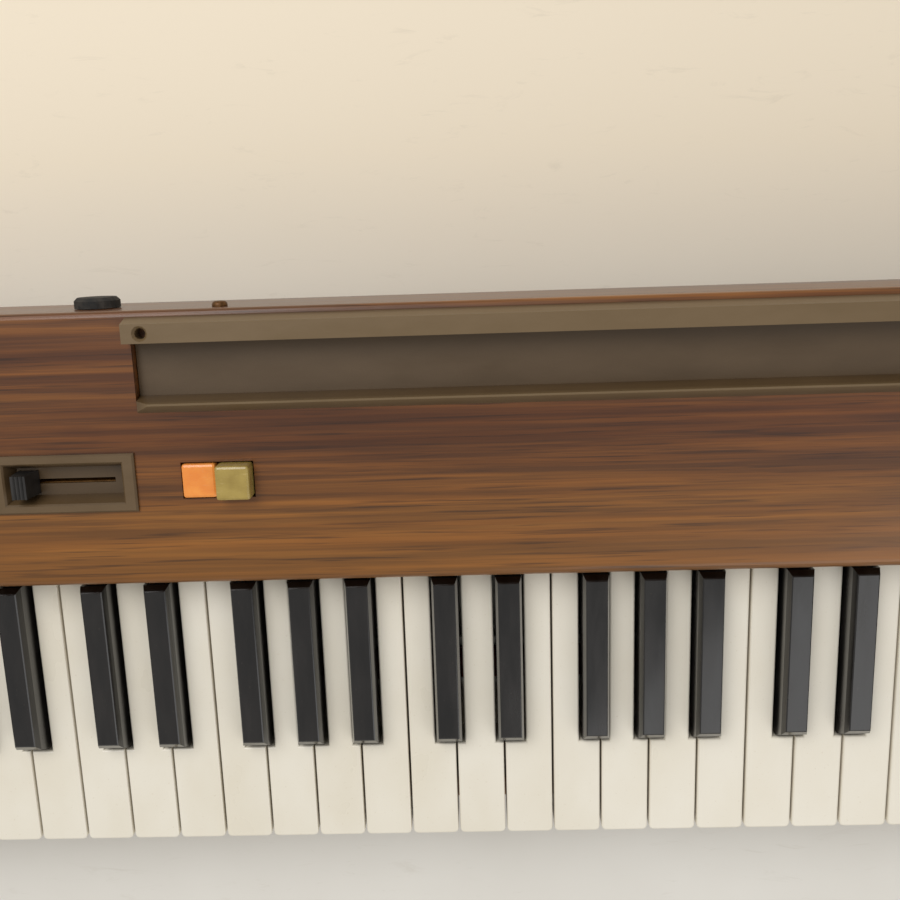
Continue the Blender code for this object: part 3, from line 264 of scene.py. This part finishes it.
def ivory_finish():
    made, tree, shader, place = blank_finish("cream_keys")
    cloud = stretched_noise(tree, place, (30.0, 18.0, 30.0), 4.0, 0.5)
    speck = stretched_noise(tree, place, (700.0, 700.0, 700.0), 2.0, 0.5)
    base = colour_steps(tree, cloud, [(0.25, paint("E4DCCA")), (0.75, paint("EDE7D9"))])
    height = axis_value(tree, place, "Z")
    # Painted shade: the sides darken towards the bottom, between the keys.
    shaded_sides = layered(tree, height, *KEY_SHADE_Z, 0.0, 0.75, base, paint("9C8F74"))
    dusty = layered(tree, speck, 0.66, 0.80, 0.0, 0.25, shaded_sides, paint("B49C72"))
    tree.links.new(dusty, shader.inputs["Base Color"])
    rough_and_bumped(tree, shader, cloud, 0.26, 0.40, cloud, 0.00004)
    shader.inputs["Coat Weight"].default_value = 0.15
    shader.inputs["Coat Roughness"].default_value = 0.15
    return made


dress("ivory", ivory_finish())

# Black keys.
# Hollow mouldings with raked fronts and a chamfer round the crest, in gloss black plastic
# that finger wear has dulled a little along the top.


def ebony_finish():
    made, tree, shader, place = blank_finish("black_keys")
    smear = stretched_noise(tree, place, (120.0, 26.0, 60.0), 4.0, 0.55)
    speck = stretched_noise(tree, place, (900.0, 900.0, 900.0), 2.0, 0.5)
    base = colour_steps(tree, smear, [(0.35, paint("0C0B0C")), (0.70, paint("1D1A19"))])
    dusty = layered(tree, speck, 0.68, 0.82, 0.0, 0.30, base, paint("5A534A"))
    tree.links.new(dusty, shader.inputs["Base Color"])
    rough_and_bumped(tree, shader, smear, 0.12, 0.30, smear, 0.00003)
    shader.inputs["Coat Weight"].default_value = 0.3
    shader.inputs["Coat Roughness"].default_value = 0.08
    return made


dress("ebony", ebony_finish())

# Music tray and slider frames.
# One-piece mouldings in brown plastic, pressed into slots of the top. The raised lip and
# strip are paler, partly from wear and partly as painted highlight, and the low tray floor
# has painted shade.
CREST_WEAR_AND_HIGHLIGHT_Z = (0.0853, 0.0880)
TRAY_SHADE_Z = (0.0830, 0.0790)


def brown_moulding_finish():
    made, tree, shader, place = blank_finish("brown_moulding")
    cloud = stretched_noise(tree, place, (24.0, 60.0, 60.0), 5.0, 0.6)
    grain = stretched_noise(tree, place, (1400.0, 1400.0, 1400.0), 2.0, 0.5)
    base = colour_steps(tree, cloud, [(0.30, paint("544129")), (0.70, paint("5F4B32"))])
    height = axis_value(tree, place, "Z")
    # Paler towards the top of the lip and strip: some wear, mostly painted highlight.
    wear_and_highlight = layered(tree, height, *CREST_WEAR_AND_HIGHLIGHT_Z, 0.0, 0.30, base, paint("8A7452"))
    # Painted shade: darker towards the low floor of the tray.
    floor = layered(tree, height, *TRAY_SHADE_Z, 0.0, 0.35, wear_and_highlight, paint("3F3122"))
    tree.links.new(floor, shader.inputs["Base Color"])
    rough_and_bumped(tree, shader, cloud, 0.34, 0.50, grain, 0.00003)
    return made


dress("brown_plastic", brown_moulding_finish())

# The two tone buttons.
# Square caps with rounded edges on stems in the interlocked switch, one orange and held down,
# one khaki and standing up, moulded in coloured plastic that is polished by use.
SCUFF_TURN = (0, 0, 0.6)


def cap_finish(name, dark, light):
    made, tree, shader, place = blank_finish(name)
    cloud = stretched_noise(tree, place, (160.0, 160.0, 160.0), 4.0, 0.5)
    scuffs = stretched_noise(tree, place, (300.0, 1500.0, 300.0), 3.0, 0.6, 0.5, SCUFF_TURN)
    base = colour_steps(tree, cloud, [(0.33, paint(dark)), (0.67, paint(light))])
    tree.links.new(layered(tree, scuffs, 0.62, 0.80, 0.0, 0.22, base, paint("F2D9A6")),
                   shader.inputs["Base Color"])
    rough_and_bumped(tree, shader, scuffs, 0.24, 0.40, cloud, 0.00004)
    shader.inputs["Coat Weight"].default_value = 0.2
    return made


dress("orange", cap_finish("orange_cap", "E8893A", "F29A45"))
dress("khaki", cap_finish("khaki_cap", "97803F", "A8914C"))

# Slider grips, connector plate, rocker and mains inlet.
# Black moulded plastic with a fine spark-eroded texture, greyed by handling.


def black_moulding_finish():
    made, tree, shader, place = blank_finish("black_moulding")
    cloud = stretched_noise(tree, place, (90.0, 90.0, 90.0), 4.0, 0.6)
    grain = stretched_noise(tree, place, (1800.0, 1800.0, 1800.0), 2.0, 0.5)
    base = colour_steps(tree, cloud, [(0.33, paint("161514")), (0.70, paint("2B2826"))])
    tree.links.new(base, shader.inputs["Base Color"])
    rough_and_bumped(tree, shader, cloud, 0.38, 0.60, grain, 0.00005)
    return made


dress("black_plastic", black_moulding_finish())

# Feet and bumpers.
# Turned rubber pads, matt and dusty, screwed under the base and to the back.


def rubber_finish():
    made, tree, shader, place = blank_finish("rubber_pads")
    dust = stretched_noise(tree, place, (220.0, 220.0, 220.0), 5.0, 0.65)
    base = colour_steps(tree, dust, [(0.40, paint("1B1A19")), (0.75, paint("45403A"))])
    tree.links.new(base, shader.inputs["Base Color"])
    rough_and_bumped(tree, shader, dust, 0.75, 0.95, dust, 0.00010)
    return made


dress("rubber", rubber_finish())

# Stop felts.
# Strips of dark red pressed felt glued under the nameboard and on the key frame's shelf.


def felt_finish():
    made, tree, shader, place = blank_finish("pressed_felt")
    fuzz = stretched_noise(tree, place, (1500.0, 1500.0, 1500.0), 5.0, 0.75)
    base = colour_steps(tree, fuzz, [(0.35, paint("4A1214")), (0.68, paint("7C2426"))])
    tree.links.new(base, shader.inputs["Base Color"])
    rough_and_bumped(tree, shader, fuzz, 0.90, 1.0, fuzz, 0.00030)
    shader.inputs["Sheen Weight"].default_value = 0.4
    return made


dress("felt", felt_finish())

# The key frame.
# Folded sheet steel with a zinc plating, brushed along its length by the rolling mill.


def steel_finish():
    made, tree, shader, place = blank_finish("plated_steel")
    brushed = stretched_noise(tree, place, (6.0, 900.0, 900.0), 3.0, 0.6)
    bloom = stretched_noise(tree, place, (40.0, 40.0, 40.0), 4.0, 0.6)
    base = colour_steps(tree, bloom, [(0.35, paint("9C9A92")), (0.70, paint("BDBBB4"))])
    tree.links.new(base, shader.inputs["Base Color"])
    rough_and_bumped(tree, shader, brushed, 0.30, 0.48, brushed, 0.00003)
    shader.inputs["Metallic"].default_value = 1.0
    return made


dress("steel", steel_finish())

# Circuit boards.
# Brown laminate with parts soldered on it, varnished and slightly uneven in colour.


def circuit_finish():
    made, tree, shader, place = blank_finish("brown_laminate")
    weave = stretched_noise(tree, place, (400.0, 400.0, 400.0), 4.0, 0.6)
    base = colour_steps(tree, weave, [(0.35, paint("6E4718")), (0.68, paint("8A5F26"))])
    tree.links.new(base, shader.inputs["Base Color"])
    rough_and_bumped(tree, shader, weave, 0.40, 0.58, weave, 0.00005)
    return made


dress("circuit", circuit_finish())

# The transformer.
# A stack of steel laminations dipped in dark varnish, so that fine level lines show.


def transformer_finish():
    made, tree, shader, place = blank_finish("varnished_laminations")
    layers = stretched_noise(tree, place, (8.0, 1600.0, 8.0), 2.0, 0.5)
    base = colour_steps(tree, layers, [(0.38, paint("2C2925")), (0.66, paint("4A443C"))])
    tree.links.new(base, shader.inputs["Base Color"])
    rough_and_bumped(tree, shader, layers, 0.40, 0.60, layers, 0.00010)
    shader.inputs["Metallic"].default_value = 0.4
    return made


dress("transformer", transformer_finish())

# Screws of the back and of the bottom board.
# Steel pan-head screws with a brown bronzed finish and a cross recess, driven through the
# back into the end blocks and the inner battens, and up through the bottom board.
HEAD_R = 0.0034
HEAD_H = 0.0024
HEAD_DOME = 0.00165
HEAD_SIDES = 28
DOME_STEPS = 5
RECESS_L = 0.0030
RECESS_W = 0.0008
RECESS_DEPTH = 0.0011
LEVEL = 1e-6
CUT_REACH = 1e-7
SHARP_ANGLE = radians(35)
BACK_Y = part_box("rear_board")[1].y
BOTTOM_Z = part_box("bottom_board")[0].z
BACK_XS = (-0.461, -0.167, 0.167, 0.461)
BACK_Z = 0.072
BACK_TURN = 0.4
BACK_TURN_STEP = 0.9
BASE_XYS = ((-0.410, -0.105), (0.0, -0.105), (0.410, -0.105),
            (-0.410, 0.110), (0.0, 0.110), (0.410, 0.110))
BASE_TURN = 0.2
BASE_TURN_STEP = 0.7


def screw_finish():
    made, tree, shader, place = blank_finish("bronzed_screws")
    tarnish = stretched_noise(tree, place, (900.0, 900.0, 900.0), 4.0, 0.6)
    base = colour_steps(tree, tarnish, [(0.35, paint("4A3018")), (0.70, paint("7A5630"))])
    tree.links.new(base, shader.inputs["Base Color"])
    rough_and_bumped(tree, shader, tarnish, 0.30, 0.55, tarnish, 0.00004)
    shader.inputs["Metallic"].default_value = 0.7
    return made


def as_piece(name, bm, material):
    """Makes a piece with its corners and faces in the same order on every run."""
    corners = sorted(bm.verts, key=lambda corner: tuple(corner.co))
    number = {corner: i for i, corner in enumerate(corners)}
    loops = []
    for face in bm.faces:
        loop = [number[corner] for corner in face.verts]
        first = loop.index(min(loop))
        loops.append(loop[first:] + loop[:first])
    mesh = bpy.data.meshes.new(name)
    mesh.from_pydata([tuple(corner.co) for corner in corners], [], sorted(loops))
    bm.free()
    mesh.materials.append(material)
    made = bpy.data.objects.new(name, mesh)
    bpy.context.scene.collection.objects.link(made)
    return made


def crown_faces(head):
    """The level faces at the top of a screw head."""
    return [f for f in head.faces if all(v.co.z > HEAD_H - LEVEL for v in f.verts)]


def in_cross(face):
    x, y, _ = (abs(c) for c in face.calc_center_median())
    return (x < RECESS_W / 2 and y < RECESS_L / 2) or (y < RECESS_W / 2 and x < RECESS_L / 2)


def pan_head(name, place, turn, material):
    """A domed head with a cross recess, standing on +Z before it is turned and placed."""
    head = bmesh.new()
    bmesh.ops.create_cone(head, cap_ends=True, segments=HEAD_SIDES, radius1=HEAD_R,
                          radius2=HEAD_R, depth=HEAD_H)
    bmesh.ops.translate(head, verts=head.verts, vec=(0, 0, HEAD_H / 2))
    rim = [e for e in head.edges if all(v.co.z > HEAD_H - LEVEL for v in e.verts)]
    bmesh.ops.bevel(head, geom=rim, offset=HEAD_DOME, segments=DOME_STEPS, profile=0.5,
                    affect="EDGES", material=-1)
    for across in (Vector((1, 0, 0)), Vector((0, 1, 0))):
        for offset in (-RECESS_L / 2, -RECESS_W / 2, RECESS_W / 2, RECESS_L / 2):
            faces = crown_faces(head)
            edges = dict.fromkeys(e for f in faces for e in f.edges)
            corners = dict.fromkeys(v for f in faces for v in f.verts)
            bmesh.ops.bisect_plane(head, geom=[*faces, *edges, *corners], dist=CUT_REACH,
                                   plane_co=across * offset, plane_no=across)
    sunk = [f for f in crown_faces(head) if in_cross(f)]
    moved = bmesh.ops.extrude_face_region(head, geom=sunk)
    bmesh.ops.delete(head, geom=sunk, context="FACES")
    floor_corners = [v for v in moved["geom"] if isinstance(v, bmesh.types.BMVert)]
    bmesh.ops.translate(head, verts=floor_corners, vec=(0, 0, -RECESS_DEPTH))
    bmesh.ops.recalc_face_normals(head, faces=head.faces)
    bmesh.ops.transform(head, verts=head.verts,
                        matrix=Matrix.Translation(Vector(place)) @ turn)
    screw = as_piece(name, head, material)
    screw.data.shade_smooth()
    screw.data.set_sharp_from_angle(angle=SHARP_ANGLE)
    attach(screw, "case")


bronze = screw_finish()
to_back = Matrix.Rotation(-pi / 2, 4, "X")
downward = Matrix.Rotation(pi, 4, "X")
for count, x in enumerate(BACK_XS):
    turned = to_back @ Matrix.Rotation(BACK_TURN + count * BACK_TURN_STEP, 4, "Z")
    pan_head("back_screw_%d" % (count + 1), (x, BACK_Y, BACK_Z), turned, bronze)
for count, (x, y) in enumerate(BASE_XYS):
    turned = downward @ Matrix.Rotation(BASE_TURN + count * BASE_TURN_STEP, 4, "Z")
    pan_head("base_screw_%d" % (count + 1), (x, y, BOTTOM_Z), turned, bronze)

# The floor.
# A plain pale painted surface, a little warmer behind the piano, with faint scuffs.
FLOOR_HALF = 4.0
WARM_Y = (0.05, 0.20)


def floor_finish():
    made, tree, shader, place = blank_finish("pale_floor")
    cloud = stretched_noise(tree, place, (3.0, 3.0, 3.0), 5.0, 0.6)
    scuffs = stretched_noise(tree, place, (30.0, 120.0, 30.0), 5.0, 0.7, 1.0)
    base = colour_steps(tree, cloud, [(0.35, paint("DEDAD2")), (0.68, paint("E8E5DE"))])
    depth = axis_value(tree, place, "Y")
    warm = layered(tree, depth, *WARM_Y, 0.0, 1.0, base, paint("EDE0CA"))
    tree.links.new(layered(tree, scuffs, 0.60, 0.80, 0.0, 0.25, warm, paint("B5AB98")),
                   shader.inputs["Base Color"])
    shader.inputs["Roughness"].default_value = 0.8
    return made


ground = bmesh.new()
bmesh.ops.create_grid(ground, x_segments=1, y_segments=1, size=FLOOR_HALF)
floor = as_piece("floor", ground, floor_finish())

# Lights.
# A large soft lamp above the back left, a weaker one from the front right, and a pale room.
ROOM_COLOUR = (1.0, 0.98, 0.94, 1.0)
ROOM_STRENGTH = 0.50


def soft_lamp(name, place, size, power):
    lamp = bpy.data.lights.new(name, "AREA")
    lamp.size = size
    lamp.energy = power
    made = bpy.data.objects.new(name, lamp)
    made.location = place
    made.rotation_euler = (-Vector(place)).to_track_quat("-Z", "Y").to_euler()
    bpy.context.scene.collection.objects.link(made)


soft_lamp("back_left_lamp", (-0.60, 0.85, 1.30), 0.9, 13.5)
soft_lamp("front_right_lamp", (0.80, -1.00, 1.30), 1.2, 6.0)
room = bpy.data.worlds.new("room")
room.use_nodes = True
sky = room.node_tree.nodes["Background"]
sky.inputs["Color"].default_value = ROOM_COLOUR
sky.inputs["Strength"].default_value = ROOM_STRENGTH
bpy.context.scene.world = room
bpy.context.scene.view_settings.view_transform = "Standard"

# The camera.
# It looks down from above the back edge, at the place and turn solved from the key corners.
LENS_MM = 40.0
SENSOR_MM = 36.0
CAMERA_PLACE = (-0.0573, 0.1605, 0.5089)
CAMERA_TURN = (-12.35, 1.11, -1.83)

lens = bpy.data.cameras.new("camera")
lens.lens = LENS_MM
lens.sensor_width = SENSOR_MM
camera = bpy.data.objects.new("camera", lens)
camera.location = CAMERA_PLACE
camera.rotation_euler = [radians(angle) for angle in CAMERA_TURN]
bpy.context.scene.collection.objects.link(camera)
bpy.context.scene.camera = camera
